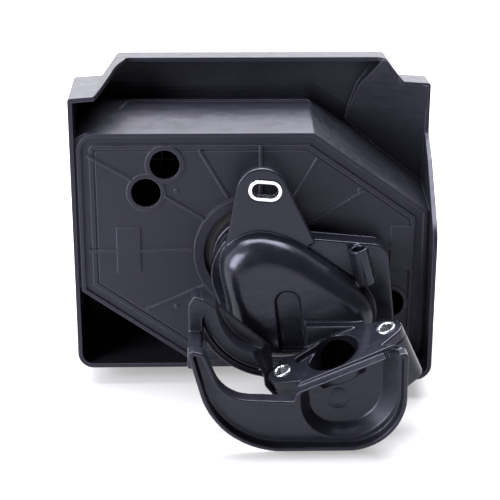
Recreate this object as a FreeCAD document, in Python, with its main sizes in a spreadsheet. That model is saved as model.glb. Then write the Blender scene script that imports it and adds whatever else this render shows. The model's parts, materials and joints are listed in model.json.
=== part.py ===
"""Air filter housing for a small engine, as a parametric FreeCAD document (millimetres).

Frame: +Z is up and the engine side is -Y, so the filter cover comes off along +Y.
Origin: the middle of the hexagonal rear plate, on its rear face.
"""
import FreeCAD, Part
import math
import os

import Sketcher
from FreeCAD import Placement, Rotation, Vector

SIZES = {
    # rear plate and filter chamber
    "plate_half_width": 88.0,
    "plate_half_height": 62.0,
    "chamfer_run": 58.5,
    "chamfer_rise": 41.0,
    "plate_corner": 9.0,
    "plate_thickness": 2.4,
    "border_step": 1.5,
    "border_rim": 2.0,
    "border_width": 6.0,
    "border_line": 8.2,
    "border_line_width": 0.8,
    "wall": 2.2,
    "chamber_depth": 75.0,
    "chamber_draft": 4.0,
    "flange_thickness": 2.4,
    "flange_blend": 9.0,
    "rib_width": 1.4,
    "rib_height": 0.9,
    "port_radius": 7.5,
    "port_ring": 2.3,
    # outer shroud
    "shroud_half_near": 91.5,
    "shroud_half_far": 96.0,
    "shroud_floor_near": 63.9,
    "shroud_floor_far": 67.0,
    "shroud_top": 88.0,
    "shroud_reach": 20.0,
    "shroud_corner": 8.0,
    "top_rim_setback": 60.0,
    "side_rim_setback": 48.0,
    "groove_depth": 3.0,
    # clean-air collar and its seal
    "collar_hole": 25.5,
    "collar_ring": 30.5,
    "collar_height": 3.0,
    "spigot_radius": 21.3,
    "spigot_wall": 2.3,
    "spigot_reach": 7.0,
    "seal_start": 0.4,
    "seal_end": 5.0,
    # elbow
    "base_back": 4.6,
    "base_front": 7.0,
    "elbow_front": 18.0,
    "dome_front": 34.0,
    "dome_wall": 2.4,
    "lug_front": 20.0,
    "lug_thickness": 5.0,
    "lug_radius": 12.6,
    "slot_travel": 6.0,
    "slot_sleeve_radius": 5.2,
    "slot_sleeve_bore": 3.6,
    "slot_sleeve_length": 6.2,
    "hose_boss_radius": 4.9,
    "hose_boss_bore": 3.2,
    "hose_boss_length": 19.0,
    "hose_boss_blind": 3.0,
    # carburettor flange
    "port_spacing": 54.4,
    "carb_bore": 13.0,
    "carb_flange_thickness": 5.0,
    "carb_flange_half_depth": 21.0,
    "duct_wall": 2.3,
    "duct_depth": 22.0,
    "carb_sleeve_radius": 4.5,
    "carb_sleeve_bore": 3.1,
    "carb_sleeve_length": 9.4,
    "link_radius": 9.0,
    # carburettor tray
    "tray_eye_thickness": 4.0,
    "tray_skirt_depth": 24.0,
    "pan_back": 75.0,
    "pan_front": 77.0,
    "pan_rim": 83.0,
    "cup_floor": 70.0,
    "tray_wall": 2.0,
    "tray_gap": 0.4,
    "arm_back": 44.0,
    "arm_front": 57.0,
    "arm_radius": 39.5,
    "arm_width": 11.0,
    # filter element
    "seat_depth": 46.0,
    "seat_ledge": 4.5,
    "filter_gap": 0.6,
    "filter_border": 8.0,
    "filter_depth": 24.0,
    "filter_seal_height": 3.0,
    "pleat_pitch": 5.0,
    "pleat_depth": 17.0,
    "paper_thickness": 0.9,
    "mesh_wire": 0.9,
    "mesh_pitch": 12.0,
    "prefilter_thickness": 5.0,
    # cover
    "cover_gap": 0.4,
    "cover_depth": 22.0,
    "cover_inset": 1.2,
    "cover_taper": 8.0,
    "cover_wall": 2.2,
    "cover_rounding": 4.0,
    "slat_pitch": 9.0,
    "slat_height": 4.6,
    # cover knobs
    "knob_x": 75.0,
    "knob_z": 53.0,
    "knob_radius": 10.5,
    "knob_height": 13.0,
    "well_radius": 12.5,
    "well_floor": 9.0,
    "stud_radius": 3.0,
    "stud_length": 27.0,
    "stud_bearing": 3.05,
    "retainer_radius": 6.0,
    "retainer_thickness": 1.2,
    "insert_radius": 4.2,
    "insert_length": 9.0,
    "insert_bore": 3.08,
    # screws
    "screw_radius": 1.9,
    "screw_head_radius": 4.0,
    "screw_head_height": 2.6,
    "screw_length": 16.0,
    "screw_boss_radius": 4.2,
}

doc = FreeCAD.newDocument("AirFilterHousing")
sheet = doc.addObject("Spreadsheet::Sheet", "Sizes")
for row, (alias, value) in enumerate(SIZES.items(), start=1):
    sheet.set(f"A{row}", alias)
    sheet.set(f"B{row}", str(value))
    sheet.setAlias(f"B{row}", alias)
doc.recompute()

nodes = []


def size(alias):
    """A driving dimension, read from the sheet."""
    return float(sheet.get(alias))


# ---------------------------------------------------------------- outlines (X, Z) and solids along Y

def shifted(corners, moves):
    """Counter-clockwise polygon with each side moved outwards; side i and moves[i] start at corner i."""
    count = len(corners)
    sides = []
    for i in range(count):
        x0, z0 = corners[i][:2]
        x1, z1 = corners[(i + 1) % count][:2]
        length = math.hypot(x1 - x0, z1 - z0)
        normal = ((z1 - z0) / length, -(x1 - x0) / length)
        sides.append((normal, normal[0] * x0 + normal[1] * z0 + moves[i]))
    result = []
    for i in range(count):
        (a, b), c = sides[i - 1]
        (d, e), f = sides[i]
        det = a * e - b * d
        radius = corners[i][2]
        if radius:
            outward = 1.0 if det > 0 else -1.0
            radius = max(radius + outward * moves[i], 0.4)
        result.append(((c * e - b * f) / det, (a * f - c * d) / det, radius))
    return result


def grown(corners, distance):
    """Counter-clockwise polygon, offset outwards by one distance."""
    return shifted(corners, [distance] * len(corners))


def outline_wire(corners, y):
    """Closed wire at depth y through (x, z, radius) corners, each corner rounded by its radius."""
    edges = []
    starts = []
    ends = []
    middles = []
    count = len(corners)
    for i in range(count):
        x, z, radius = corners[i]
        here = Vector(x, y, z)
        before = Vector(corners[i - 1][0], y, corners[i - 1][1]) - here
        after = Vector(corners[(i + 1) % count][0], y, corners[(i + 1) % count][1]) - here
        before.normalize()
        after.normalize()
        half = before.getAngle(after) / 2.0
        reach = radius / math.tan(half)
        starts.append(here + before * reach)
        ends.append(here + after * reach)
        bisector = before + after
        bisector.normalize()
        middles.append(here + bisector * (radius / math.sin(half) - radius))
    for i in range(count):
        if corners[i][2]:
            edges.append(Part.Arc(starts[i], middles[i], ends[i]).toShape())
        following = (i + 1) % count
        edges.append(Part.makeLine(ends[i], starts[following]))
    return Part.Wire(edges)


def prism(corners, y0, y1):
    """Outline extruded from depth y0 to depth y1."""
    return Part.Face(outline_wire(corners, y0)).extrude(Vector(0, y1 - y0, 0))


def tapered(near, y0, far, y1):
    """Solid between two outlines with the same number of corners."""
    return Part.makeLoft([outline_wire(near, y0), outline_wire(far, y1)], True, True)


def rod(radius, x, z, y0, y1):
    """Round bar along Y."""
    return Part.makeCylinder(radius, y1 - y0, Vector(x, y0, z), Vector(0, 1, 0))


def ring(outer, inner, x, z, y0, y1):
    """Tube along Y."""
    return rod(outer, x, z, y0, y1).cut(rod(inner, x, z, y0 - 1, y1 + 1))


def box(x0, x1, y0, y1, z0, z1):
    """Box between two corners."""
    return Part.makeBox(x1 - x0, y1 - y0, z1 - z0, Vector(x0, y0, z0))


def bar(x0, z0, x1, z1, width, y0, y1):
    """Straight rib on the rear plate, from one point to another."""
    length = math.hypot(x1 - x0, z1 - z0)
    solid = Part.makeBox(length, y1 - y0, width, Vector(0, y0, -width / 2.0))
    solid.rotate(Vector(0, 0, 0), Vector(0, 1, 0), -math.degrees(math.atan2(z1 - z0, x1 - x0)))
    solid.translate(Vector(x0, 0, z0))
    return solid


def fused(solids):
    """One solid from several that touch."""
    return solids[0].multiFuse(solids[1:]).removeSplitter()


def main_piece(shape):
    """The largest solid of a boolean's result."""
    return max(shape.Solids, key=lambda piece: piece.Volume)


def mirrored_corners(corners):
    """The outline turned half round about the origin."""
    return [(-x, -z, radius) for x, z, radius in corners]


# ---------------------------------------------------------------- document objects

def shape_node(label, shape):
    """A sub-part whose shape is made by this file's own functions."""
    node = doc.addObject("Part::Feature", label)
    node.Label = label
    node.Shape = shape
    node.Placement = Placement()
    nodes.append(node)
    return node


def origin_plane(body, role):
    """One of a body's own origin planes."""
    return next(plane for plane in body.Origin.OriginFeatures if plane.Role == role)


def circle(sketch, alias):
    """A circle on the sketch's origin, its radius bound to the sheet."""
    index = sketch.addGeometry(Part.Circle(Vector(0, 0, 0), Vector(0, 0, 1), size(alias)), False)
    sketch.addConstraint(Sketcher.Constraint("Coincident", index, 3, -1, 1))
    number = sketch.addConstraint(Sketcher.Constraint("Radius", index, size(alias)))
    sketch.setExpression(f"Constraints[{number}]", f"Sizes.{alias}")


def tube_body(label, outer, inner, length, placement, chamfer=0.0):
    """A PartDesign tube along its own Z axis: sketch of two circles, padded, its ends broken by a chamfer."""
    body = doc.addObject("PartDesign::Body", label)
    body.Label = label
    sketch = body.newObject("Sketcher::SketchObject", label + "_sketch")
    sketch.AttachmentSupport = [(origin_plane(body, "XY_Plane"), "")]
    sketch.MapMode = "FlatFace"
    circle(sketch, outer)
    circle(sketch, inner)
    pad = body.newObject("PartDesign::Pad", label + "_pad")
    pad.Profile = sketch
    pad.setExpression("Length", f"Sizes.{length}")
    body.Tip = pad
    doc.recompute()
    if chamfer:
        bevel = body.newObject("PartDesign::Chamfer", label + "_chamfer")
        circles = [f"Edge{i}" for i, edge in enumerate(pad.Shape.Edges, start=1) if edge.isClosed()]
        bevel.Base = (pad, circles)
        bevel.Size = chamfer
        body.Tip = bevel
    body.Placement = placement
    nodes.append(body)
    return body


ALONG_Y = Rotation(Vector(0, 0, 1), Vector(0, 1, 0))


# ---------------------------------------------------------------- hexagon and shroud outlines

def hexagon():
    """Rear plate: a rectangle with two opposite corners cut off and the other two rounded."""
    width = size("plate_half_width")
    height = size("plate_half_height")
    run = size("chamfer_run")
    rise = size("chamfer_rise")
    corner = size("plate_corner")
    half = [(width, -height, corner), (width, height - rise, 1.5), (width - run, height, 1.5)]
    return half + mirrored_corners(half)


def chamber_outline(depth):
    """The chamber's outside at a depth: the plate's outline, opening towards the cover."""
    return grown(hexagon(), size("chamber_draft") * depth / size("chamber_depth"))


def shroud_outline(depth):
    """The shroud's outside at a depth: it flares from the plate to the cover."""
    share = depth / size("chamber_depth")
    half = size("shroud_half_near") + share * (size("shroud_half_far") - size("shroud_half_near"))
    floor = size("shroud_floor_near") + share * (size("shroud_floor_far") - size("shroud_floor_near"))
    top = size("shroud_top")
    shoulder = top - 8.5 - 5.0 * share
    inner = half - 12.5 - 3.0 * share
    corner = size("shroud_corner")
    right = [(half, -floor, corner), (half, shoulder, 1.5), (inner, shoulder + 1.0, 1.5),
             (inner - 9.0, top, 3.0)]
    left = [(-x, z, radius) for x, z, radius in reversed(right)]
    return right + left


def prism_along_x(corners, x0, x1):
    """Outline of (y, z, radius) corners, extruded from x0 to x1."""
    solid = prism(corners, -x1, -x0)
    solid.rotate(Vector(0, 0, 0), Vector(0, 0, 1), 90)
    return solid


def prism_along_z(corners, z0, z1):
    """Outline of (x, y, radius) corners, extruded from z0 to z1."""
    solid = prism([(x, -y, radius) for x, y, radius in corners], 0.0, z1 - z0)
    solid.rotate(Vector(0, 0, 0), Vector(1, 0, 0), 90)
    solid.translate(Vector(0, 0, z0))
    return solid


def rim_cutters():
    """What is taken off the shroud's rear edge, wall by wall."""
    reach = size("shroud_reach")
    top_set = size("top_rim_setback")
    side_set = size("side_rim_setback")
    far = 150.0
    right = prism_along_x(
        [(-far, -80, 0), (-far, 110, 0), (side_set, 110, 0), (side_set, 50, 6), (side_set / 2.0, 41, 10),
         (1.0 - reach, 15, 12), (-reach, -80, 0)], 86, 120)
    bottom = prism_along_z(
        [(-120, 0, 0), (10, 0, 20), (58, -reach, 20), (120, -reach, 0), (120, -far, 0), (-120, -far, 0)],
        -90, -50)
    left = box(-120, -60, -far, 0, -90, 110)
    top = prism_along_z(
        [(-78.2, -far, 0), (-78.2, 0.1, 0), (-66, top_set, 2), (68, top_set, 4), (78, side_set, 4),
         (120, side_set, 0), (120, -far, 0)], 64.2, 110)
    return [right, bottom, left, top]


# ---------------------------------------------------------------- housing

PORTS = [(-44.5, 46.2), (-54.1, 31.7), (70.0, -28.5)]
SCREWS = [(37.0, 4.5), (58.5, 0.0), (57.0, -39.0), (-2.0, -38.0)]
RIBS = [(-83, 51, -60.5, 38), (-44.7, 29.8, -25.5, 18), (-27.4, 53.7, -13, 29), (3.3, 56, 3.3, 31),
        (31.6, 49.2, 19, 27), (56, 32.2, 28, 15), (-83.3, 1, -57, 1), (-57, 1, -31, 1),
        (-55, -31.2, -24, -17.5), (-27, -50.5, -14, -28), (64, 1.4, 82, 1.4), (31, -50, 15, -27)]
DOTS = [(-38.9, 32.7), (-39.7, -29.6), (53.3, 32.4)]


def shroud_and_chamber():
    """The outer shroud, the cover flange and the chamber walls, before the details."""
    depth = size("chamber_depth")
    wall = size("wall")
    far = depth + 3.0
    reach = size("shroud_reach")
    inside_end = depth - size("flange_thickness")
    solid = tapered(shroud_outline(-reach - 2), -reach - 2, shroud_outline(depth), depth)
    hollow = tapered(grown(shroud_outline(-reach - 4), -wall), -reach - 4,
                     grown(shroud_outline(inside_end), -wall), inside_end)
    core = tapered(chamber_outline(-reach - 6), -reach - 6, chamber_outline(far), far)
    core = core.cut(box(-150, 150, -150, 0, -150, 150))
    # beyond a shallow groove, the chamber's long sides run straight into the shroud
    groove = size("groove_depth")
    wide = [9.0, 0.0, 0.0, 9.0, 0.0, 9.0]
    core = core.fuse(tapered(shifted(hexagon(), wide), groove, shifted(chamber_outline(far), wide), far))
    hollow = hollow.cut(core).cut(flange_blend(inside_end))
    solid = solid.cut(hollow)
    for cutter in rim_cutters():
        solid = solid.cut(cutter)
    return solid


def flange_blend(end):
    """Round inside corner where the chamber's walls meet the cover flange."""
    blend = size("flange_blend")
    wires = []
    for step in range(7):
        angle = math.radians(15.0 * step)
        depth = end - blend + blend * math.sin(angle)
        spread = blend * (1.0 - math.cos(angle)) - 0.01
        wires.append(outline_wire(grown(chamber_outline(depth), spread), depth))
    return Part.makeLoft(wires, True, True)


def chamber_cavity():
    """The air space inside the chamber, open at the cover side."""
    wall = size("wall")
    start = size("plate_thickness")
    end = size("chamber_depth") + 1
    return tapered(grown(chamber_outline(start), -wall), start, grown(chamber_outline(end), -wall), end)


def corner_wedge():
    """Sloping fill of the upper cut-off corner, which carries the right knob's insert."""
    outline = [(100, 12, 0), (100, 92, 0), (72, 92, 0), (69, 86, 2), (58, 72, 12), (50, 49, 0)]
    wedge = prism(outline, 40.0, size("chamber_depth") - 1.0)
    slope = Vector(0.481, 1.0, 0.096)
    open_side = Part.makeBox(400, 400, 400, Vector(-200, -400, -200))
    open_side.Placement = Placement(Vector(69, 57, 86), Rotation(Vector(0, 1, 0), slope))
    return wedge.cut(open_side)


def corner_block():
    """Box in the lower cut-off corner, which carries the left knob's insert."""
    x = -size("knob_x")
    z = -size("knob_z")
    outline = [(x + 22, z + 3, 1.0), (x - 16, z + 22, 1.0), (x - 16, z - 10, 1.0), (x + 18, z - 10, 2.0)]
    return prism(outline, size("chamber_depth") - 13.0, size("chamber_depth") - 1.0)


def plate_details(solid):
    """Stepped border, collar, ports, ribs, pads and screw holes of the rear plate."""
    step = size("border_step")
    border = prism(grown(hexagon(), -size("border_rim")), -1.0, step).cut(
        prism(grown(hexagon(), -size("border_width")), -2.0, step + 1))
    line = size("border_line")
    groove = prism(grown(hexagon(), -line), -1.0, 0.8).cut(
        prism(grown(hexagon(), -line - size("border_line_width")), -2.0, 1.8))
    solid = solid.cut(border).cut(groove)
    additions = [ring(size("collar_ring"), size("collar_hole"), 0, 0, -size("collar_height"), 1.0),
                 ring(size("collar_hole") + 2.4, size("collar_hole"), 0, 0, -1.0, size("seal_end"))]
    rib_height = size("rib_height")
    for x0, z0, x1, z1 in RIBS:
        additions.append(bar(x0, z0, x1, z1, size("rib_width"), -rib_height, 1.0))
    for x in (-63.5, 75.5):
        additions.append(box(x - 6.0, x + 6.0, -rib_height, 1.0, -10.5, 13.5))
    for x, z in PORTS:
        additions.append(rod(size("port_radius") + size("port_ring"), x, z, -0.8, 1.0))
    for x, z in DOTS:
        additions.append(rod(1.2, x, z, -0.8, 1.0))
    solid = solid.multiFuse(additions)
    holes = [rod(size("port_radius"), x, z, -5, 9) for x, z in PORTS]
    holes += [rod(size("screw_radius") + 0.3, x, z, -5, 9) for x, z in SCREWS]
    holes.append(rod(size("collar_hole"), 0, 0, -9, 9))
    return solid.cut(holes)


def housing_shell():
    """Shroud, cover flange, chamber and rear plate: one moulding."""
    depth = size("chamber_depth")
    solid = shroud_and_chamber()
    inset = -size("wall") / 2.0
    trim = tapered(grown(shroud_outline(-30), inset), -30, grown(shroud_outline(depth), inset), depth)
    for corner in (corner_wedge(), corner_block()):
        solid = solid.fuse(corner.common(trim))
    solid = solid.cut(chamber_cavity())
    seat = size("seat_depth")
    ledge = prism(grown(chamber_outline(seat), -1.0), seat - 2.4, seat).cut(
        prism(grown(chamber_outline(seat), -size("wall") - size("seat_ledge")), seat - 9, seat + 9))
    solid = plate_details(solid.fuse(ledge))
    for sign in (1, -1):
        bore = rod(size("insert_radius"), sign * size("knob_x"), sign * size("knob_z"),
                   depth - size("insert_length"), depth + 1)
        pilot = rod(size("stud_radius") + 0.4, sign * size("knob_x"), sign * size("knob_z"),
                    depth - size("insert_length") - 1.0, depth)
        solid = solid.cut(bore).cut(pilot)
    return shape_node("housing_shell", main_piece(solid))


# ---------------------------------------------------------------- elbow

BASE = [(-13.5, 15.0, 9.0), (-24.0, -3.0, 24.0), (-11.0, -44.0, 7.0), (12.0, -51.0, 9.0),
        (67.0, -47.0, 9.0), (70.5, -29.0, 16.0), (65.8, 9.3, 8.0), (29.0, 12.8, 1.0)]
DOME = [(-14.5, 8.5), (-6.9, 15.0), (1.4, 17.6), (12.0, 16.0), (22.6, 11.3), (33.0, 4.3), (45.0, -4.0),
        (56.0, -13.0), (61.5, -24.0), (58.0, -37.0), (40.0, -44.0), (16.0, -46.5), (-4.0, -43.0),
        (-10.5, -34.0), (-13.5, -18.0), (-16.5, -3.0)]
DOME_CENTRE = (18.0, -19.0)
DOME_SHIFT = -0.7
LUG_TOP = (1.95, 36.9)
SLOT = (4.8, 38.4)
SPIGOT = (0.0, -1.0)
FLANGE_NORMAL = Vector(-0.40, -0.15, 0.90)
FLANGE_CENTRE = Vector(37.1, -51.0, -32.0)
CARB_PORT = (-1.0, -2.0)


def flange_frame():
    """Placement whose X runs from sleeve to sleeve, whose Y runs to the dome, and whose Z is the bore."""
    normal = Vector(FLANGE_NORMAL)
    normal.normalize()
    across = Vector(normal.z, 0, -normal.x)
    across.normalize()
    back = normal.cross(across)
    matrix = FreeCAD.Matrix(across.x, back.x, normal.x, FLANGE_CENTRE.x,
                            across.y, back.y, normal.y, FLANGE_CENTRE.y,
                            across.z, back.z, normal.z, FLANGE_CENTRE.z, 0, 0, 0, 1)
    return Placement(matrix)


def placed(shape, placement):
    """A copy of the shape moved into the placement."""
    copy = shape.copy()
    copy.Placement = placement.multiply(copy.Placement)
    return copy


def flange_prism(corners, low, high):
    """Outline in the flange's own plane, extruded along the bore from low to high."""
    flat = prism([(x, -y, radius) for x, y, radius in corners], 0.0, high - low)
    flat.rotate(Vector(0, 0, 0), Vector(1, 0, 0), 90)
    flat.translate(Vector(0, 0, low))
    return placed(flat, flange_frame())


def flange_rod(radius, x, y, low, high):
    """Round bar along the bore direction."""
    return placed(Part.makeCylinder(radius, high - low, Vector(x, y, low)), flange_frame())


def flange_outline(inset=0.0):
    """Two-bolt flange: a rounded rhombus around the port and the two sleeves."""
    half = size("port_spacing") / 2.0
    deep = size("carb_flange_half_depth")
    corners = [(-half - 19.0, -1.0, 9.0), (1.0, -deep - 4.0, 15.0), (half + 15.5, -1.5, 7.0),
               (-1.0, deep, 15.0)]
    return grown([(x, -y, radius) for x, y, radius in reversed(corners)], -inset)


def flange_solid(inset, low, high):
    """The flange outline, extruded along the bore."""
    corners = [(x, -z, radius) for x, z, radius in flange_outline(inset)]
    return flange_prism([(x, y, radius) for x, y, radius in corners], low, high)


def dome_wire(y, scale, drop=0.0):
    """Closed smooth section of the dome at depth y."""
    centre_x, centre_z = DOME_CENTRE
    centre_x += DOME_SHIFT
    points = [Vector(centre_x + (x + DOME_SHIFT - centre_x) * scale, y, centre_z + (z - centre_z) * scale
                     - drop) for x, z in DOME]
    curve = Part.BSplineCurve()
    curve.interpolate(points, True)
    return Part.Wire([curve.toShape()])


def dome_solid(sections):
    """Loft through the dome's sections, given as (depth, scale)."""
    wires = [dome_wire(-depth, scale, drop) for depth, scale, drop in sections]
    return Part.makeLoft(wires, True, False)


def lug_outline():
    """Tongue that carries the slotted sleeve: two tangents from the round top to the body."""
    top_x, top_z = LUG_TOP
    radius = size("lug_radius")
    half = 9.35
    top = top_z + radius
    return [(top_x + half, top, radius), (top_x - half, top, radius), (-14.5, 9.0, 1.0), (10.0, 0.0, 1.0),
            (29.5, 11.5, 1.0)]


def slot_face(radius, travel, y0, y1):
    """Slot along X (slightly turned) as a solid along Y, centred on the slotted sleeve."""
    half = travel / 2.0
    x, z = SLOT
    solid = rod(radius, x - half, z, y0, y1).multiFuse(
        [rod(radius, x + half, z, y0, y1), box(x - half, x + half, y0, y1, z - radius, z + radius)])
    solid = solid.removeSplitter()
    solid.rotate(Vector(x, 0, z), Vector(0, 1, 0), 5.0)
    return solid


def shoulder_sections(start, end):
    """Sections of the dome's rounded shoulder: (depth, scale, drop), flattening towards the front."""
    sections = []
    for degrees in (4, 22, 40, 57, 72, 84):
        angle = math.radians(degrees)
        depth = start + (end - start) * math.sin(angle)
        scale = 0.62 + 0.37 * math.cos(angle) ** 0.8
        sections.append((depth, scale, 3.0 * (1.0 - math.cos(angle))))
    return sections


def elbow_outside():
    """Outer form of the elbow moulding: box, lug, dome, duct and flange."""
    front = size("elbow_front")
    body = prism(BASE, -front, -size("base_front"))
    lug_front = size("lug_front")
    lug = prism(lug_outline(), -lug_front, -lug_front + size("lug_thickness"))
    dome_front = size("dome_front")
    dome = dome_solid([(front - 2, 1.0, 0.0)] + shoulder_sections(front + 4, dome_front))
    flange = flange_solid(0.0, -size("carb_flange_thickness"), 0.0)
    duct = flange_rod(size("carb_bore") + size("duct_wall"), *CARB_PORT, -size("duct_depth"), -1.0)
    link_x, link_z = link_centre()
    link = rod(size("link_radius") + size("duct_wall"), link_x, link_z, FLANGE_CENTRE.y, -front + 2)
    neck = box(24.5, 53.5, -dome_front - 6, -dome_front + 8, -41.5, -25)
    neck = neck.common(dome_solid([(front - 2, 1.0, 0.0), (dome_front + 8, 1.0, 0.0)]))
    return body.multiFuse([lug, dome, flange, duct, link, neck])


def link_centre():
    """Where the duct under the flange turns back towards the dome."""
    normal = flange_frame().Rotation.multVec(Vector(0, 0, 1))
    point = FLANGE_CENTRE - normal * (size("duct_depth") / 2.0 - 1.0)
    return point.x, point.z


def elbow_inside():
    """The air passage through the elbow, from the spigot to the carburettor port."""
    front = size("elbow_front")
    wall = size("dome_wall")
    box_space = prism(grown(BASE, -wall), -front + wall, -size("base_front") + 1)
    dome = dome_solid([(front - 4, 0.92, 0.0), (front + 3, 0.90, 0.0), (front + 7, 0.84, 1.0),
                       (size("dome_front") - 6, 0.70, 2.0)])
    bore = flange_rod(size("carb_bore"), *CARB_PORT, -size("duct_depth") + size("duct_wall"), 5.0)
    link_x, link_z = link_centre()
    link = rod(size("link_radius"), link_x, link_z, FLANGE_CENTRE.y, -front + 1)
    return box_space.multiFuse([dome, bore, link])


def elbow_dome():
    """Dome, lug, duct and carburettor flange: one moulding."""
    solid = elbow_outside().cut(elbow_inside())
    front = size("elbow_front")
    bosses = [rod(size("screw_boss_radius"), x, z, -front + 0.5, -size("base_front")) for x, z in SCREWS]
    solid = solid.multiFuse(bosses)
    cuts = [rod(size("screw_radius"), x, z, -15.0, -size("base_front") + 1) for x, z in SCREWS]
    cuts.append(slot_face(size("slot_sleeve_radius"), size("slot_travel"), -30, -10))
    half = size("port_spacing") / 2.0
    for side in (-half, half):
        cuts.append(flange_rod(size("carb_sleeve_radius"), side, 0, -30, 5))
    # clearance groove down the dome's face
    dome_front = size("dome_front")
    groove = prism([(21.0, -9.0, 5.6), (9.0, -9.0, 5.6), (12.4, -40.0, 1.0), (25.4, -40.0, 1.0)],
                   -dome_front - 8, -dome_front + 3.2)
    cuts.append(groove)
    notch = [(-19.5, 2.0, 0.6), (-8.0, -1.0, 0.5), (-8.0, 9.0, 0.5), (-19.5, 5.5, 0.6)]
    cuts.append(flange_prism(notch, -3.0, 3.0))
    tube, bore = hose_boss()
    solid = solid.fuse(tube).cut(cuts).cut(bore)
    return shape_node("elbow_dome", main_piece(solid))


def hose_boss():
    """Boss on the elbow's front and its blind bore, open at the top."""
    length = size("hose_boss_length")
    blind = size("hose_boss_blind")
    tube = Part.makeCylinder(size("hose_boss_radius"), length)
    bore = Part.makeCylinder(size("hose_boss_bore"), length, Vector(0, 0, blind))
    placement = Placement(Vector(55.3, -22.5, -8.6), Rotation(Vector(0, 0, 1), Vector(-0.26, -0.05, 0.96)))
    return placed(tube, placement), placed(bore, placement)


def elbow_base():
    """Rear dish of the elbow with the spigot that plugs into the collar."""
    back = size("base_back")
    front = size("base_front")
    x, z = SPIGOT
    outer = size("spigot_radius")
    parts = [prism(grown(BASE, 0.0), -front, -back),
             rod(outer, x, z, -front, size("spigot_reach"))]
    for screw_x, screw_z in SCREWS:
        parts.append(rod(size("screw_boss_radius"), screw_x, screw_z, -front, 0.0))
    solid = parts[0].multiFuse(parts[1:])
    cuts = [rod(outer - size("spigot_wall"), x, z, -front - 1, size("spigot_reach") + 1)]
    cuts += [rod(size("screw_radius"), sx, sz, -front - 1, 1) for sx, sz in SCREWS]
    return shape_node("elbow_base", solid.cut(cuts).removeSplitter())


def elbow_seal():
    """Rubber ring between the spigot and the collar."""
    x, z = SPIGOT
    start = size("seal_start")
    end = size("seal_end")
    spigot = rod(size("spigot_radius"), x, z, start - 1, end + 1)
    return shape_node("elbow_seal", rod(size("collar_hole"), 0, 0, start, end).cut(spigot))


def lug_slot_sleeve():
    """Steel sleeve with a slotted hole, pressed into the lug."""
    travel = size("slot_travel")
    end = -size("lug_front") - 0.6
    length = size("slot_sleeve_length")
    outside = slot_face(size("slot_sleeve_radius"), travel, end, end + length)
    inside = slot_face(size("slot_sleeve_bore"), travel, end - 1, end + length + 1)
    return shape_node("lug_slot_sleeve", outside.cut(inside))


def carb_sleeves():
    """Steel sleeves in the flange ends, which also hold the tray's eyes."""
    half = size("port_spacing") / 2.0
    frame = flange_frame()
    low = 0.4 - size("carb_sleeve_length")
    for label, side in (("carb_sleeve_left", -half), ("carb_sleeve_right", half)):
        placement = frame.multiply(Placement(Vector(side, 0, low), Rotation()))
        tube_body(label, "carb_sleeve_radius", "carb_sleeve_bore", "carb_sleeve_length", placement, 0.4)


def elbow_screws():
    """Thread-forming screws that hold the elbow from inside the chamber."""
    start = size("plate_thickness")
    head = size("screw_head_height")
    screws = []
    for x, z in SCREWS:
        shaft = rod(size("screw_radius"), x, z, start - size("screw_length"), start)
        cap = rod(size("screw_head_radius"), x, z, start, start + head)
        rim = [edge for edge in cap.Edges if edge.isClosed() and edge.CenterOfMass.y > start + head - 0.01]
        cap = cap.makeFillet(1.0, rim)
        recess = fused([box(x - 2.0, x + 2.0, start + 1.1, start + head + 1, z - 0.5, z + 0.5),
                        box(x - 0.5, x + 0.5, start + 1.1, start + head + 1, z - 2.0, z + 2.0)])
        screws.append(shaft.fuse(cap).cut(recess).removeSplitter())
    return shape_node("elbow_screws", Part.makeCompound(screws))


# ---------------------------------------------------------------- carburettor tray

PAN = [(69.3, -70.0, 27.0), (68.5, -20.0, 2.0), (60.0, -22.0, 2.0), (17.5, -40.0, 2.0), (16.0, -44.3, 1.0),
       (-16.0, -42.8, 18.0), (-25.0, -20.0, 3.0), (-33.0, -18.0, 2.0), (-19.0, -70.0, 40.0)]
CUP_RIM = [(66.5, -65.5, 25.0), (65.0, -20.0, 2.0), (52.0, -26.0, 2.0), (19.5, -40.0, 2.0),
           (20.0, -65.5, 18.0)]
CUP_FLOOR = [(58.5, -61.0, 18.0), (58.0, -23.0, 2.0), (50.0, -27.0, 2.0), (23.5, -39.0, 2.0),
             (25.5, -61.0, 12.0)]

ARM_CENTRE = (9.2, -5.4)


def tray_pan():
    """Shallow pan with an upstanding rim and a dished cup at its right end."""
    wall = size("tray_wall")
    back = -size("pan_back")
    front = -size("pan_front")
    rim = -size("pan_rim")
    floor = -size("cup_floor")
    outside = prism(PAN, rim, back)
    pan = outside.cut(prism(grown(PAN, -wall), rim - 1, front))
    cup_out = tapered(grown(CUP_RIM, wall), front + 1.0, grown(CUP_FLOOR, wall), floor + wall)
    pan = pan.fuse(cup_out)
    for space in cup_space():
        pan = pan.cut(space)
    return pan


def cup_space():
    """The hollow of the cup: a dish from the pan's floor down, and the room in front of it."""
    front = -size("pan_front")
    floor = -size("cup_floor")
    return [prism(CUP_RIM, -size("pan_rim") - 1, front), tapered(CUP_RIM, front, CUP_FLOOR, floor)]


def tray_skirt():
    """Wall under the flange that carries the two eyes and the cup."""
    top = -size("carb_flange_thickness")
    bottom = top - size("tray_skirt_depth")
    wall = size("tray_wall")
    skirt = flange_solid(0.0, bottom, top).cut(flange_solid(wall, bottom - 1, top + 1))
    behind = flange_prism([(-60, 4.0, 0), (60, 4.0, 0), (60, 40.0, 0), (-60, 40.0, 0)], bottom - 2, top + 2)
    skirt = skirt.cut(behind)
    half = size("port_spacing") / 2.0
    plate = flange_solid(0.0, top - size("tray_eye_thickness"), top)
    middle = flange_prism([(-half + 9, -60, 0), (half - 9, -60, 0), (half - 9, 60, 0), (-half + 9, 60, 0)],
                          top - 20, top + 1)
    return skirt.fuse(plate.cut(middle))


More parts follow.
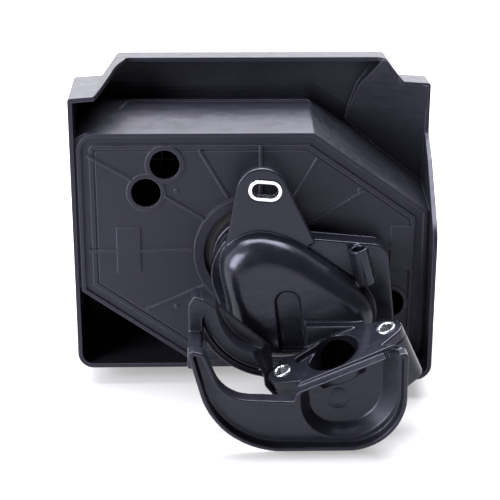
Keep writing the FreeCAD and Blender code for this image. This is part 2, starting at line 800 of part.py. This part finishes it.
def tray_arm():
    """Arm that sweeps from the flange's left end to the pan's tip, with its web."""
    back = -size("arm_back")
    front = -size("arm_front")
    wall = size("tray_wall")
    x, z = ARM_CENTRE
    outer = size("arm_radius")
    inner = outer - size("arm_width")
    reach = prism([(12.7, -60.0, 0), (12.7, -30.0, 0), (-26.1, -3.0, 0), (-26.1, -60.0, 0)], -90, 0)
    band = ring(outer, inner, x, z, front, back).common(reach)
    step = ring(outer + 1.0, outer - 3.4, x, z, front - 1, front + 1.6)
    groove = ring(outer - 3.4, outer - 4.6, x, z, front - 1, front + 3.0)
    web_area = prism([(10.7, -60.0, 0), (10.7, -36.0, 0), (-26.3, -3.0, 0), (-32.3, -5.5, 0),
                      (-32.3, -60.0, 0)], back - wall, back)
    web = web_area.common(rod(outer, x, z, back - wall, back))
    post = prism([(-25.8, -3.5, 1.0), (-29.8, -2.0, 1.0), (-32.5, -6.5, 1.0), (-32.5, -30.0, 1.0),
                  (-25.8, -30.0, 1.0)], front, back)
    foot = prism([(-26.3, -19.5, 1.0), (-32.7, -19.5, 1.0), (-32.7, -30.0, 1.0), (-26.3, -30.0, 1.0)],
                 -size("pan_front"), front + 2)
    root = prism([(13.5, -60.0, 2.0), (14.7, -43.0, 1.0), (2.7, -37.4, 1.0), (3.7, -48.5, 3.0)], front, back)
    return band.cut(step).cut(groove).multiFuse([web, post, foot, root])


def carb_tray():
    """Tray round the carburettor: pan, cup, arm and the eyes under the flange."""
    skirt = tray_skirt()
    for space in cup_space():
        skirt = skirt.cut(space)
    solid = skirt.multiFuse([tray_pan(), tray_arm()])
    half = size("port_spacing") / 2.0
    link_x, link_z = link_centre()
    gap = size("tray_gap")
    duct = flange_rod(size("carb_bore") + size("duct_wall") + gap, *CARB_PORT, -size("duct_depth") - gap, 1)
    link = rod(size("link_radius") + size("duct_wall") + gap, link_x, link_z, FLANGE_CENTRE.y, 0)
    solid = solid.cut([duct, link]).cut(flange_solid(-gap, -size("carb_flange_thickness"), 30.0))
    for side in (-half, half):
        solid = solid.cut(flange_rod(size("carb_sleeve_radius"), side, 0, -12, 5))
    solid = solid.cut(box(-200, 200, -size("elbow_front") - 2, 50, -200, 200))
    mark = ring(4.6, 4.0, 38.0, -48.5, -size("cup_floor") - 0.4, -size("cup_floor") + 0.5)
    return shape_node("carb_tray", main_piece(solid).fuse(mark).removeSplitter())


# ---------------------------------------------------------------- filter element

def element_outline(inset):
    """Outline of the filter element in its seat."""
    return grown(chamber_outline(size("seat_depth")), -size("wall") - size("filter_gap") - inset)


def filter_frame():
    """Moulded frame round the pleated paper."""
    seat = size("seat_depth")
    start = seat + size("filter_seal_height")
    end = seat + size("filter_depth")
    border = size("filter_border")
    frame = prism(element_outline(0.0), start, end).cut(
        prism(element_outline(border), start - 1, end + 1))
    rebate = prism(element_outline(border - 3.0), start + 2.5, end - 2.0)
    return shape_node("filter_frame", frame.cut(rebate))


def filter_seal():
    """Soft rim that seals the frame on the chamber's ledge."""
    seat = size("seat_depth")
    solid = prism(element_outline(0.2), seat, seat + size("filter_seal_height")).cut(
        prism(element_outline(5.0), seat - 1, seat + 9))
    return shape_node("filter_seal", solid)


def filter_pleats():
    """Pleated paper: a zigzag sheet that fills the frame."""
    border = size("filter_border")
    inner = element_outline(border - 2.8)
    start = size("seat_depth") + size("filter_seal_height") + 2.7
    depth = size("pleat_depth") - 2.0
    pitch = size("pleat_pitch")
    paper = size("paper_thickness")
    width = max(x for x, z, radius in inner)
    count = int(2 * width / pitch) - 1
    front = []
    for i in range(2 * count + 1):
        x = -count * pitch / 2.0 + i * pitch / 2.0
        y = start + (paper if i % 2 == 0 else depth)
        front.append((x, y))
    back = [(x, y - paper) for x, y in reversed(front)]
    points = [Vector(x, y, -100) for x, y in front + back]
    sheet_solid = Part.Face(Part.makePolygon(points + points[:1])).extrude(Vector(0, 0, 200))
    pleats = sheet_solid.common(prism(inner, start - 5, start + depth + 5))
    return shape_node("filter_pleats", pleats)


def filter_mesh():
    """Wire support behind the pleats, held in the frame."""
    start = size("seat_depth") + size("filter_seal_height") - 1.0
    wire = size("mesh_wire")
    pitch = size("mesh_pitch")
    field = prism(element_outline(5.2), start - 1, start + 3)
    bars = [prism(element_outline(5.2), start - wire, start).cut(
        prism(element_outline(7.0), start - 5, start + 5))]
    for i in range(-7, 8):
        bars.append(box(i * pitch - wire / 2, i * pitch + wire / 2, start - wire, start, -80, 80))
    for i in range(-5, 6):
        bars.append(box(-100, 100, start - wire, start, i * pitch - wire / 2, i * pitch + wire / 2))
    mesh = fused(bars).common(prism(element_outline(5.2), start - 2, start + 1))
    return shape_node("filter_mesh", mesh)


def prefilter():
    """Felt pad that lies on the front of the element's frame."""
    start = size("seat_depth") + size("filter_depth")
    solid = prism(element_outline(size("filter_border") - 2.0), start, start + size("prefilter_thickness"))
    return shape_node("prefilter", solid)


# ---------------------------------------------------------------- cover and knobs

def cover_outline(share):
    """The cover's outside: the flange's outline, tapering towards the front."""
    depth = size("chamber_depth")
    return grown(shroud_outline(depth), -size("cover_inset") - share * size("cover_taper"))


def cover_form():
    """The cover's outer form, with a rounded edge round its front face."""
    start = size("chamber_depth") + size("cover_gap")
    end = start + size("cover_depth")
    rounding = size("cover_rounding")
    wires = [outline_wire(cover_outline(0.0), start)]
    for step in range(6):
        angle = math.radians(18.0 * step)
        depth = end - rounding + rounding * math.sin(angle)
        share = (depth - start) / (end - start)
        wires.append(outline_wire(grown(cover_outline(share), -rounding * (1.0 - math.cos(angle))), depth))
    return Part.makeLoft(wires, True, True)


def cover_taper_shell():
    """The cover before its wells and slats: a tray open towards the housing."""
    start = size("chamber_depth") + size("cover_gap")
    end = start + size("cover_depth")
    wall = size("cover_wall")
    outside = cover_form()
    near = grown(cover_outline(0.0), -wall)
    inside = tapered(near, start - 0.01, grown(cover_outline(1.0), -wall), end - wall)
    return outside.cut(inside)


def filter_cover():
    """Front cover with its air slats and the two wells for the knobs."""
    start = size("chamber_depth") + size("cover_gap")
    end = start + size("cover_depth")
    wall = size("cover_wall")
    floor = start + size("well_floor")
    solid = cover_taper_shell()
    trim = cover_form()
    well = size("well_radius")
    for sign in (1, -1):
        x = sign * size("knob_x")
        z = sign * size("knob_z")
        solid = solid.fuse(rod(well + wall, x, z, floor - wall, end).common(trim))
        solid = solid.cut(rod(well, x, z, floor, end + 5))
        solid = solid.fuse(ring(size("stud_radius") + 3.0, size("stud_bearing"), x, z, start + 2.6, floor))
        solid = solid.cut(rod(size("stud_bearing"), x, z, start - 1, end))
    pitch = size("slat_pitch")
    slots = []
    for i in range(-5, 6):
        half = 46.0 - abs(i) * 1.5
        low = i * pitch - size("slat_height") / 2
        high = i * pitch + size("slat_height") / 2
        slot = [(half, low, 1.5), (half, high, 1.5), (-half, high, 1.5), (-half, low, 1.5)]
        slots.append(prism(slot, end - 4, end + 4))
    solid = solid.cut(slots)
    # ribs that hold the prefilter against the element
    hold = size("seat_depth") + size("filter_depth") + size("prefilter_thickness")
    for x in (-56.0, 56.0):
        solid = solid.fuse(box(x - 1, x + 1, hold, end - wall + 0.5, -30, 30))
    return shape_node("filter_cover", solid.removeSplitter())


def cover_seal():
    """Foam strip between the cover's edge and the housing flange."""
    start = size("chamber_depth")
    gap = size("cover_gap")
    solid = prism(grown(cover_outline(0.0), -0.2), start, start + gap).cut(
        prism(grown(cover_outline(0.0), -2.0), start - 1, start + gap + 1))
    return shape_node("cover_seal", solid)


def knob_solid(x, z):
    """Hand knob with finger flutes and a hub that turns on the well's floor."""
    floor = size("chamber_depth") + size("cover_gap") + size("well_floor")
    radius = size("knob_radius")
    height = size("knob_height")
    solid = rod(radius, x, z, floor + 0.3, floor + height)
    top = [edge for edge in solid.Edges if edge.isClosed() and edge.CenterOfMass.y > floor + height - 0.1]
    solid = solid.makeFillet(1.6, top)
    flutes = []
    for i in range(8):
        angle = math.radians(45.0 * i + 22.5)
        flutes.append(rod(2.4, x + (radius + 1.2) * math.cos(angle), z + (radius + 1.2) * math.sin(angle),
                          floor, floor + height + 1))
    slot = box(x - 7.0, x + 7.0, floor + height - 2.4, floor + height + 1, z - 1.2, z + 1.2)
    stud_hole = rod(size("stud_radius"), x, z, floor - 1, floor + height - 4.0)
    return solid.cut(flutes).cut(slot).cut(stud_hole).removeSplitter()


def knob_set(side, sign):
    """A knob with its stud, its retainer and the insert that the stud screws into."""
    x = sign * size("knob_x")
    z = sign * size("knob_z")
    start = size("chamber_depth") + size("cover_gap")
    floor = start + size("well_floor")
    shape_node(f"knob_{side}", knob_solid(x, z))
    top = floor + size("knob_height") - 4.0
    stud = doc.addObject("Part::Cylinder", f"knob_stud_{side}")
    stud.Label = f"knob_stud_{side}"
    stud.setExpression("Radius", "Sizes.stud_radius")
    stud.setExpression("Height", "Sizes.stud_length")
    stud.Placement = Placement(Vector(x, top - size("stud_length"), z), ALONG_Y)
    nodes.append(stud)
    tube_body(f"knob_retainer_{side}", "retainer_radius", "stud_radius", "retainer_thickness",
              Placement(Vector(x, start + 2.4 - size("retainer_thickness"), z), ALONG_Y))
    tube_body(f"threaded_insert_{side}", "insert_radius", "insert_bore", "insert_length",
              Placement(Vector(x, size("chamber_depth") - size("insert_length"), z), ALONG_Y), 0.4)


# ---------------------------------------------------------------- build, check, write

def build():
    """Every sub-part of the assembly."""
    housing_shell()
    elbow_base()
    elbow_dome()
    elbow_seal()
    lug_slot_sleeve()
    carb_sleeves()
    elbow_screws()
    carb_tray()
    filter_frame()
    filter_seal()
    filter_pleats()
    filter_mesh()
    prefilter()
    filter_cover()
    cover_seal()
    knob_set("left", -1)
    knob_set("right", 1)
    doc.recompute()


def write():
    """Check every object, then write one STEP file per sub-part."""
    for item in doc.Objects:
        if {"Invalid", "Error"} & set(item.State):
            raise RuntimeError(f"{item.Name} failed: {item.State}")
    os.makedirs("parts", exist_ok=True)
    for node in nodes:
        shape = node.Shape
        if shape.isNull() or not shape.isValid():
            raise RuntimeError(f"{node.Label} has no valid shape")
        shape.exportStep(f"parts/{node.Label}.step")
        print(f"{node.Label:24s} solids {len(shape.Solids):3d}  volume {shape.Volume:10.1f}")


build()
write()
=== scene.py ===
"""Looks of the air filter housing, in metres: materials, rounded mouldings, light and camera."""
import json
import math

import bmesh
import bpy
from mathutils import Matrix, Vector

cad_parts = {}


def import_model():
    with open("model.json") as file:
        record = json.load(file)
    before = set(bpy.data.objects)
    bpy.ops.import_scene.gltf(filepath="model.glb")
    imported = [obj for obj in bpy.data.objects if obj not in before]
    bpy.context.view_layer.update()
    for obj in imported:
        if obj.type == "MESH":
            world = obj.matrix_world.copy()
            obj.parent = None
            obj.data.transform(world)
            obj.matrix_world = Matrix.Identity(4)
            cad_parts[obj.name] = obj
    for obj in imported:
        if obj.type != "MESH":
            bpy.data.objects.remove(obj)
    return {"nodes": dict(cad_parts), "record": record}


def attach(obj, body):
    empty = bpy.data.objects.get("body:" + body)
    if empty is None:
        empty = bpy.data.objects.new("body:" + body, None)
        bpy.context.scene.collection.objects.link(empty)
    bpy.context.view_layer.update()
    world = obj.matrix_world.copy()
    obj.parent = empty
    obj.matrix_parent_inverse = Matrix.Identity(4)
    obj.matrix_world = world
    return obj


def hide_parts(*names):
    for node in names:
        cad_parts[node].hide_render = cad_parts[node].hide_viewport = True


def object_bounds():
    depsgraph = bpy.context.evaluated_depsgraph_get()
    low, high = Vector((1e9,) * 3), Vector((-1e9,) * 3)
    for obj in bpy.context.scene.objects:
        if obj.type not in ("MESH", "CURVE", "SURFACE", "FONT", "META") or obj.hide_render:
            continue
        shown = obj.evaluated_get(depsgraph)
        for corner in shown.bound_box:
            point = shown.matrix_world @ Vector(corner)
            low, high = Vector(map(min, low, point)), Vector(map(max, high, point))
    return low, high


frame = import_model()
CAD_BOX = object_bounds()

NODES = frame["nodes"]
BODY_OF = {node: body for body, members in frame["record"]["behaviour"]["bodies"].items() for node in members}
SLOT_OF = {row["node"]: row["material_slot"] for row in frame["record"]["subparts"]}
scene = bpy.context.scene


# ---------------------------------------------------------------- shader building blocks

# The sockets of a colour Mix node, by place, since their names repeat.
MIX_SHARE, MIX_FIRST, MIX_SECOND, MIX_RESULT = 0, 6, 7, 2
BEVEL_SAMPLES = 4
FLAT_POINTINESS, EDGE_POINTINESS = 0.53, 0.62
EDGE_LIKENESS, FLAT_LIKENESS = 0.80, 0.97


def material(name):
    """A new material with its node tree, Principled shader and a coordinate source in the row frame."""
    mat = bpy.data.materials.new(name)
    mat.use_nodes = True
    tree = mat.node_tree
    shader = next(node for node in tree.nodes if node.type == "BSDF_PRINCIPLED")
    place = tree.nodes.new("ShaderNodeTexCoord").outputs["Object"]
    return mat, tree, shader, place


def noise(tree, place, scale, detail=3.0, stretch=(1, 1, 1)):
    """Noise value over the piece: scale is waves per metre, stretch slows it along an axis."""
    mapping = tree.nodes.new("ShaderNodeMapping")
    mapping.inputs["Scale"].default_value = [1.0 / value for value in stretch]
    texture = tree.nodes.new("ShaderNodeTexNoise")
    texture.inputs["Scale"].default_value = scale
    texture.inputs["Detail"].default_value = detail
    tree.links.new(place, mapping.inputs["Vector"])
    tree.links.new(mapping.outputs["Vector"], texture.inputs["Vector"])
    return texture.outputs["Fac"]


def remap(tree, value, low, high, start=0.3, end=0.7):
    """value, from start to end, spread over low to high."""
    node = tree.nodes.new("ShaderNodeMapRange")
    node.inputs["From Min"].default_value = start
    node.inputs["From Max"].default_value = end
    node.inputs["To Min"].default_value = low
    node.inputs["To Max"].default_value = high
    tree.links.new(value, node.inputs["Value"])
    return node.outputs["Result"]


def mixed(tree, share, first, second):
    """Colour between first and second, each a socket or a plain colour, at the share that a socket gives."""
    node = tree.nodes.new("ShaderNodeMix")
    node.data_type = "RGBA"
    for socket, colour in ((node.inputs[MIX_FIRST], first), (node.inputs[MIX_SECOND], second)):
        if isinstance(colour, bpy.types.NodeSocket):
            tree.links.new(colour, socket)
        else:
            socket.default_value = (*colour, 1.0)
    tree.links.new(share, node.inputs[MIX_SHARE])
    return node.outputs[MIX_RESULT]


def scaled(colour, factor):
    """A lighter or darker version of a colour."""
    return [value * factor for value in colour]


def rounded_normal(tree, radius):
    """Surface normal as if every edge were rounded to radius, in metres."""
    bevel = tree.nodes.new("ShaderNodeBevel")
    bevel.samples = BEVEL_SAMPLES
    bevel.inputs["Radius"].default_value = radius
    return bevel.outputs["Normal"]


def bumped(tree, layers, edge=0.0):
    """Normal made of bump layers, each (height socket, distance in metres, strength), over rounded edges."""
    normal = rounded_normal(tree, edge) if edge else None
    for height, distance, strength in layers:
        node = tree.nodes.new("ShaderNodeBump")
        node.inputs["Distance"].default_value = distance
        node.inputs["Strength"].default_value = strength
        tree.links.new(height, node.inputs["Height"])
        if normal:
            tree.links.new(normal, node.inputs["Normal"])
        normal = node.outputs["Normal"]
    return normal


def pointed_edge_wear_and_highlight_mask(tree, most):
    """Share of edge wear and painted highlight: most on a fine mesh's outer edges, 0 on its flat faces."""
    geometry = tree.nodes.new("ShaderNodeNewGeometry")
    return remap(tree, geometry.outputs["Pointiness"], 0.0, most, FLAT_POINTINESS, EDGE_POINTINESS)


def rounded_edge_highlight_mask(tree, radius, most):
    """Share of painted edge highlight: most along every edge, as far in as its rounding reaches, and 0
    elsewhere.
    """
    geometry = tree.nodes.new("ShaderNodeNewGeometry")
    likeness = tree.nodes.new("ShaderNodeVectorMath")
    likeness.operation = "DOT_PRODUCT"
    tree.links.new(rounded_normal(tree, radius), likeness.inputs[0])
    tree.links.new(geometry.outputs["Normal"], likeness.inputs[1])
    return remap(tree, likeness.outputs["Value"], most, 0.0, EDGE_LIKENESS, FLAT_LIKENESS)


# ---------------------------------------------------------------- materials

BLACK = (0.0075, 0.0075, 0.011)
DEEP_BLACK = (0.005, 0.005, 0.008)
# Colour of scuffs, also painted on edges as highlight.
SCUFF_AND_HIGHLIGHT = (0.040, 0.040, 0.054)
PLASTIC_IOR = 1.52
REFLECTION_TINT = (0.80, 0.80, 1.0, 1.0)
CLOUD_GAIN = 1.35
# Painted edge highlight: how much lighter than the scuff colour it is, and its largest share.
EDGE_HIGHLIGHT_GAIN = 2.2
EDGE_HIGHLIGHT_SHARE = 0.8
SCUFF_SHARE = 0.25
STEEL_STAIN = 0.62
METAL_EDGE = 0.0003
RUBBER_EDGE = 0.0004


def moulded_plastic(name, colour, rub, roughness, grain, edge, shine=0.3, wear_and_edge_highlight=1.0):
    """Semi-gloss black moulding: fine grain, slow sink and flow marks, faint scuffs and painted edge
    highlights, with edge wear as well on copies that have their own radii.

    The scuff colour also paints the edges, as highlight, and on copies with their own radii as wear as well;
    grain is the strength of the fine bump and shine the reflection's.
    edge is the radius that sharp edges are shaded with and that their painted highlight reaches, in metres,
    or 0 for a copy that has its own radii.
    """
    mat, tree, shader, place = material(name)
    cloud = noise(tree, place, scale=38.0, detail=2.0)
    flow = noise(tree, place, scale=160.0, detail=4.0, stretch=(1.0, 1.0, 0.35))
    fine = noise(tree, place, scale=2600.0, detail=2.0)
    scuff = noise(tree, place, scale=900.0, detail=5.0, stretch=(6.0, 1.0, 1.0))
    base = mixed(tree, remap(tree, cloud, 0.0, 1.0), colour, scaled(colour, CLOUD_GAIN))
    base = mixed(tree, remap(tree, scuff, 0.0, SCUFF_SHARE * wear_and_edge_highlight, start=0.58, end=0.74), base, rub)
    if edge:
        # Painted highlight along every edge, lighter than the scuff colour.
        base = mixed(tree, rounded_edge_highlight_mask(tree, edge, EDGE_HIGHLIGHT_SHARE), base, scaled(rub, EDGE_HIGHLIGHT_GAIN))
    else:
        # Edge wear and painted highlight on the copy's outer edges, in the scuff colour.
        base = mixed(tree, pointed_edge_wear_and_highlight_mask(tree, wear_and_edge_highlight), base, rub)
    tree.links.new(base, shader.inputs["Base Color"])
    tree.links.new(remap(tree, flow, roughness - 0.05, roughness + 0.07), shader.inputs["Roughness"])
    shader.inputs["IOR"].default_value = PLASTIC_IOR
    shader.inputs["Specular IOR Level"].default_value = shine
    shader.inputs["Specular Tint"].default_value = REFLECTION_TINT
    layers = [(cloud, 0.0006, 0.25), (flow, 0.0001, 0.12), (fine, 0.00004, grain)]
    tree.links.new(bumped(tree, layers, edge), shader.inputs["Normal"])
    return mat


def plated_steel(name, colour, roughness):
    """Zinc-plated steel: turning marks, faint spangle and small stains."""
    mat, tree, shader, place = material(name)
    lathe = noise(tree, place, scale=2200.0, stretch=(5.0, 1.0, 5.0))
    stain = noise(tree, place, scale=260.0, detail=4.0)
    base = mixed(tree, remap(tree, stain, 0.0, 0.6), colour, scaled(colour, STEEL_STAIN))
    tree.links.new(base, shader.inputs["Base Color"])
    shader.inputs["Metallic"].default_value = 1.0
    tree.links.new(remap(tree, lathe, roughness - 0.07, roughness + 0.12), shader.inputs["Roughness"])
    tree.links.new(bumped(tree, [(lathe, 0.00003, 0.3)], METAL_EDGE), shader.inputs["Normal"])
    return mat


def brass(name):
    """Turned brass with darker tarnish."""
    mat, tree, shader, place = material(name)
    tarnish = noise(tree, place, scale=420.0, detail=4.0)
    base = mixed(tree, remap(tree, tarnish, 0.0, 1.0), (0.66, 0.47, 0.20), (0.36, 0.24, 0.10))
    tree.links.new(base, shader.inputs["Base Color"])
    shader.inputs["Metallic"].default_value = 1.0
    tree.links.new(remap(tree, tarnish, 0.25, 0.42), shader.inputs["Roughness"])
    tree.links.new(bumped(tree, [(tarnish, 0.00004, 0.3)], METAL_EDGE), shader.inputs["Normal"])
    return mat


def rubber(name):
    """Matt black rubber with a fine bloom."""
    mat, tree, shader, place = material(name)
    bloom = noise(tree, place, scale=190.0, detail=4.0)
    fine = noise(tree, place, scale=3000.0, detail=2.0)
    base = mixed(tree, remap(tree, bloom, 0.0, 1.0), (0.012, 0.012, 0.013), (0.035, 0.035, 0.036))
    tree.links.new(base, shader.inputs["Base Color"])
    tree.links.new(remap(tree, bloom, 0.62, 0.80), shader.inputs["Roughness"])
    tree.links.new(bumped(tree, [(fine, 0.00006, 0.4)], RUBBER_EDGE), shader.inputs["Normal"])
    return mat


def filter_paper(name):
    """Charcoal pleated medium: fibres and mottling."""
    mat, tree, shader, place = material(name)
    fibre = noise(tree, place, scale=1500.0, detail=6.0, stretch=(1.0, 1.0, 5.0))
    mottle = noise(tree, place, scale=120.0)
    base = mixed(tree, remap(tree, mottle, 0.0, 1.0), (0.020, 0.020, 0.022), (0.034, 0.034, 0.036))
    base = mixed(tree, remap(tree, fibre, 0.0, 0.30), base, (0.075, 0.075, 0.078))
    tree.links.new(base, shader.inputs["Base Color"])
    shader.inputs["Roughness"].default_value = 0.88
    tree.links.new(bumped(tree, [(fibre, 0.0001, 0.5)]), shader.inputs["Normal"])
    return mat


def felt(name):
    """Grey needled felt, with fibres along and across."""
    mat, tree, shader, place = material(name)
    fibre = noise(tree, place, scale=1700.0, detail=7.0, stretch=(3.0, 1.0, 1.0))
    cross = noise(tree, place, scale=1500.0, detail=7.0, stretch=(1.0, 1.0, 4.0))
    mottle = noise(tree, place, scale=90.0)
    base = mixed(tree, remap(tree, mottle, 0.0, 1.0), (0.20, 0.21, 0.22), (0.13, 0.14, 0.15))
    base = mixed(tree, remap(tree, fibre, 0.0, 0.6), base, (0.42, 0.43, 0.44))
    tree.links.new(base, shader.inputs["Base Color"])
    shader.inputs["Roughness"].default_value = 0.95
    shader.inputs["Sheen Weight"].default_value = 0.4
    tree.links.new(bumped(tree, [(fibre, 0.0004, 0.6), (cross, 0.0003, 0.5)]), shader.inputs["Normal"])
    return mat


# Each slot's maker and the maker's settings.
FINISHES = {
    "black_plastic": (moulded_plastic, {
        "colour": BLACK, "rub": SCUFF_AND_HIGHLIGHT, "roughness": 0.39, "grain": 0.20, "edge": 0.0007, "shine": 0.28,
        "wear_and_edge_highlight": 0.7}),
    "elbow_plastic": (moulded_plastic, {
        "colour": DEEP_BLACK, "rub": SCUFF_AND_HIGHLIGHT, "roughness": 0.22, "grain": 0.08, "edge": 0.0, "shine": 0.34,
        "wear_and_edge_highlight": 0.2}),
    "tray_plastic": (moulded_plastic, {
        "colour": DEEP_BLACK, "rub": SCUFF_AND_HIGHLIGHT, "roughness": 0.30, "grain": 0.10, "edge": 0.0, "shine": 0.32,
        "wear_and_edge_highlight": 0.2}),
    "cover_plastic": (moulded_plastic, {
        "colour": DEEP_BLACK, "rub": SCUFF_AND_HIGHLIGHT, "roughness": 0.44, "grain": 0.40, "edge": 0.0, "shine": 0.20,
        "wear_and_edge_highlight": 0.3}),
    "knob_plastic": (moulded_plastic, {
        "colour": (0.018, 0.018, 0.022), "rub": SCUFF_AND_HIGHLIGHT, "roughness": 0.45, "grain": 0.35, "edge": 0.0004}),
    "frame_plastic": (moulded_plastic, {
        "colour": (0.02, 0.02, 0.023), "rub": (0.06, 0.06, 0.07), "roughness": 0.50, "grain": 0.3,
        "edge": 0.0004}),
    "mesh_steel": (moulded_plastic, {
        "colour": (0.012, 0.012, 0.014), "rub": (0.05, 0.05, 0.055), "roughness": 0.50, "grain": 0.3,
        "edge": 0.0}),
    "sleeve_steel": (plated_steel, {"colour": (0.86, 0.88, 0.92), "roughness": 0.20}),
    "screw_steel": (plated_steel, {"colour": (0.62, 0.63, 0.66), "roughness": 0.30}),
    "insert_brass": (brass, {}),
    "seal_rubber": (rubber, {}),
    "filter_paper": (filter_paper, {}),
    "prefilter_felt": (felt, {}),
}
MATERIALS = {slot: make(slot, **settings) for slot, (make, settings) in FINISHES.items()}


def dress(obj, slot):
    """Gives the piece its slot's material."""
    obj.data.materials.clear()
    obj.data.materials.append(MATERIALS[slot])


for node, obj in NODES.items():
    dress(obj, SLOT_OF[node])


# ---------------------------------------------------------------- rounded mouldings

# The nodes shown by a rounded copy, with the voxel size of each copy in metres: smaller keeps finer detail.
VOXEL_OF = {
    "elbow_dome": 0.00042,
    "elbow_base": 0.00055,
    "carb_tray": 0.00042,
    "filter_cover": 0.0007,
    "knob_left": 0.0004,
    "knob_right": 0.0004,
}
SMOOTHING_PASSES = 5
MOST_TRIANGLES = 180000


def apply_modifiers(obj):
    """Replaces the object's mesh by the one that its modifiers make."""
    graph = bpy.context.evaluated_depsgraph_get()
    obj.data = bpy.data.meshes.new_from_object(obj.evaluated_get(graph))
    obj.modifiers.clear()


def moulded(node, voxel):
    """A copy of a CAD node whose sharp edges are melted to small radii, as a real moulding's are."""
    obj = bpy.data.objects.new(node + "_moulded", NODES[node].data.copy())
    scene.collection.objects.link(obj)
    remesh = obj.modifiers.new("remesh", "REMESH")
    remesh.mode = "VOXEL"
    remesh.voxel_size = voxel
    remesh.use_smooth_shade = True
    melt = obj.modifiers.new("melt", "SMOOTH")
    melt.factor = 0.5
    melt.iterations = SMOOTHING_PASSES
    apply_modifiers(obj)
    triangles = sum(len(face.vertices) - 2 for face in obj.data.polygons)
    if triangles > MOST_TRIANGLES:
        thin = obj.modifiers.new("thin", "DECIMATE")
        thin.ratio = MOST_TRIANGLES / triangles
        apply_modifiers(obj)
    for face in obj.data.polygons:
        face.use_smooth = True
    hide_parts(node)
    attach(obj, BODY_OF[node])
    dress(obj, SLOT_OF[node])


for node, voxel in VOXEL_OF.items():
    moulded(node, voxel)


# ---------------------------------------------------------------- stage

FLOOR_GAP = 0.0005
FLOOR_HALF = 6.0
FLOOR_COLOUR = (0.36, 0.36, 0.365, 1.0)
FLOOR_ROUGHNESS = 0.8
FLOOR_GLOW = 0.34


def floor():
    """Plain pale floor under the object, glowing a little so that its shadows stay pale."""
    mat, _, shader, _ = material("pale_floor")
    shader.inputs["Base Color"].default_value = FLOOR_COLOUR
    shader.inputs["Roughness"].default_value = FLOOR_ROUGHNESS
    shader.inputs["Emission Color"].default_value = (1.0, 1.0, 1.0, 1.0)
    shader.inputs["Emission Strength"].default_value = FLOOR_GLOW
    mesh = bpy.data.meshes.new("floor")
    build = bmesh.new()
    bmesh.ops.create_grid(build, x_segments=4, y_segments=4, size=FLOOR_HALF)
    build.to_mesh(mesh)
    build.free()
    mesh.materials.append(mat)
    obj = bpy.data.objects.new("floor", mesh)
    obj.location = (0, 0, CAD_BOX[0][2] - FLOOR_GAP)
    scene.collection.objects.link(obj)


# ---------------------------------------------------------------- light

LAMP_COLOUR = (0.95, 0.95, 1.0)


def softbox(name, place, target, width, height, power, colour=LAMP_COLOUR):
    """Rectangular area light at place, facing target, with its power in watts."""
    data = bpy.data.lights.new(name, "AREA")
    data.shape = "RECTANGLE"
    data.size = width
    data.size_y = height
    data.energy = power
    data.color = colour
    obj = bpy.data.objects.new(name, data)
    obj.location = place
    obj.rotation_euler = (Vector(target) - Vector(place)).to_track_quat("-Z", "Y").to_euler()
    scene.collection.objects.link(obj)


def world(front, back, left):
    """Studio surroundings: front is their strength on the engine side, back behind it, and left is added."""
    sky = bpy.data.worlds.new("studio")
    sky.use_nodes = True
    tree = sky.node_tree
    axes = tree.nodes.new("ShaderNodeSeparateXYZ")
    tree.links.new(tree.nodes.new("ShaderNodeTexCoord").outputs["Generated"], axes.inputs["Vector"])
    behind = remap(tree, axes.outputs["Y"], front, back, start=-0.1, end=0.8)
    beside = remap(tree, axes.outputs["X"], left, 0.0, start=-0.9, end=-0.3)
    total = tree.nodes.new("ShaderNodeMath")
    total.operation = "ADD"
    tree.links.new(behind, total.inputs[0])
    tree.links.new(beside, total.inputs[1])
    background = tree.nodes["Background"]
    background.inputs["Color"].default_value = (0.97, 0.97, 1.0, 1.0)
    tree.links.new(total.outputs[0], background.inputs["Strength"])
    scene.world = sky


# ---------------------------------------------------------------- camera

CAMERA_DISTANCE = 0.668
CAMERA_HEIGHT_DEG = 19.5
CAMERA_SIDE_DEG = -1.5
CAMERA_TARGET = Vector((-0.002, 0.0, 0.0009))
CAMERA_ROLL = 0.0024
LENS_MM = 94.46
SENSOR_MM = 36.0
CLIP_END = 20.0


def camera():
    """Camera in front of the engine side, a little above it."""
    data = bpy.data.cameras.new("camera")
    data.lens = LENS_MM
    data.sensor_width = SENSOR_MM
    data.clip_end = CLIP_END
    obj = bpy.data.objects.new("camera", data)
    height = math.radians(CAMERA_HEIGHT_DEG)
    side = math.radians(CAMERA_SIDE_DEG)
    away = Vector((math.sin(side) * math.cos(height), -math.cos(side) * math.cos(height), math.sin(height)))
    obj.location = CAMERA_TARGET + away * CAMERA_DISTANCE
    turn = (-away).to_track_quat("-Z", "Y").to_matrix() @ Matrix.Rotation(CAMERA_ROLL, 3, "Z")
    obj.rotation_euler = turn.to_euler()
    scene.collection.objects.link(obj)
    scene.camera = obj


# ---------------------------------------------------------------- the scene

floor()
world(front=0.16, back=2.2, left=2.4)
softbox("back_top", (-0.2, 1.0, 1.15), (0, 0, 0), width=2.0, height=0.7, power=60.0)
softbox("overhead", (0.0, 0.15, 0.95), (0, 0.02, 0), width=1.2, height=0.5, power=30.0)
softbox("left_front", (-0.62, -0.50, 0.30), (-0.06, 0, 0), width=0.40, height=0.40, power=10.0,
        colour=(0.96, 0.96, 1.0))
camera()
scene.view_settings.view_transform = "Standard"
